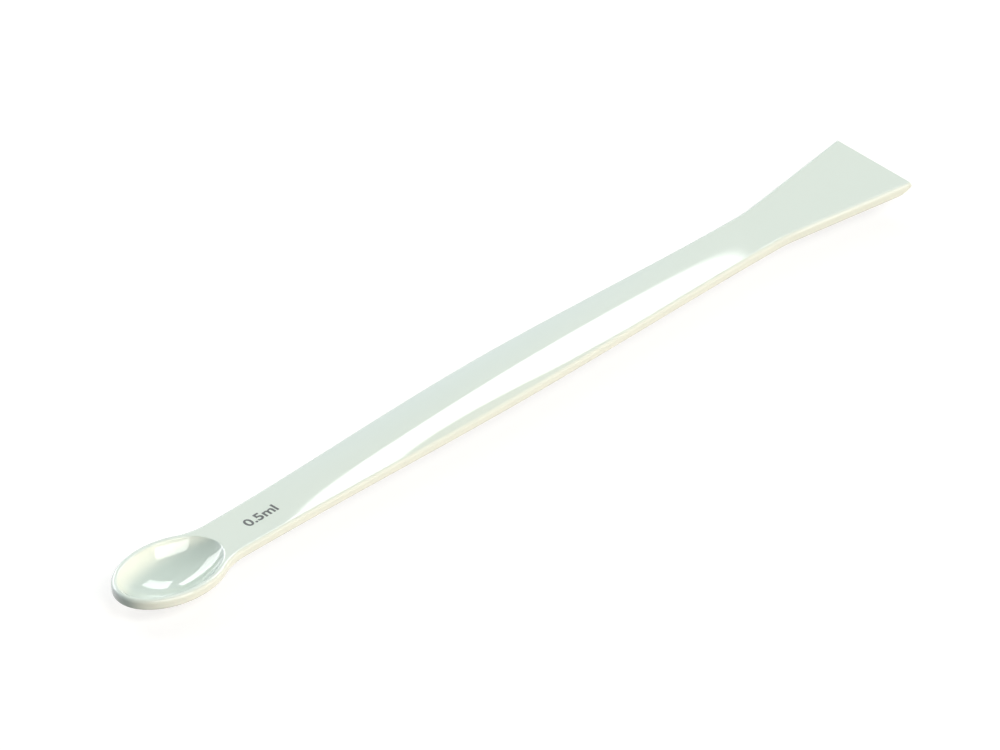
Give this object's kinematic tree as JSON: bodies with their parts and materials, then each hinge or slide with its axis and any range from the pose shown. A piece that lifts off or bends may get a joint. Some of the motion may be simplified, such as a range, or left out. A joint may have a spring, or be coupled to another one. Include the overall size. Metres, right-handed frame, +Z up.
{
  "type": "lab spatula",
  "caption": "One-piece white plastic lab spatula: a small oval measuring spoon at one end of a slim arched handle and a flat flared scraper blade at the other.",
  "frame": {"origin": "under the middle of the spatula's length and width, level with the lowest point of the bowl", "axes": "+X runs along the handle from the spoon to the blade, +Y across the handle, +Z up, out of the open bowl"},
  "size_m": [0.18, 0.0182, 0.0063],
  "materials": {
    "plastic": "glossy moulded polystyrene",
    "print": "thin dark print"
  },
  "bodies": {
    "root": {"spatula": "plastic"}
  },
  "joints": []
}
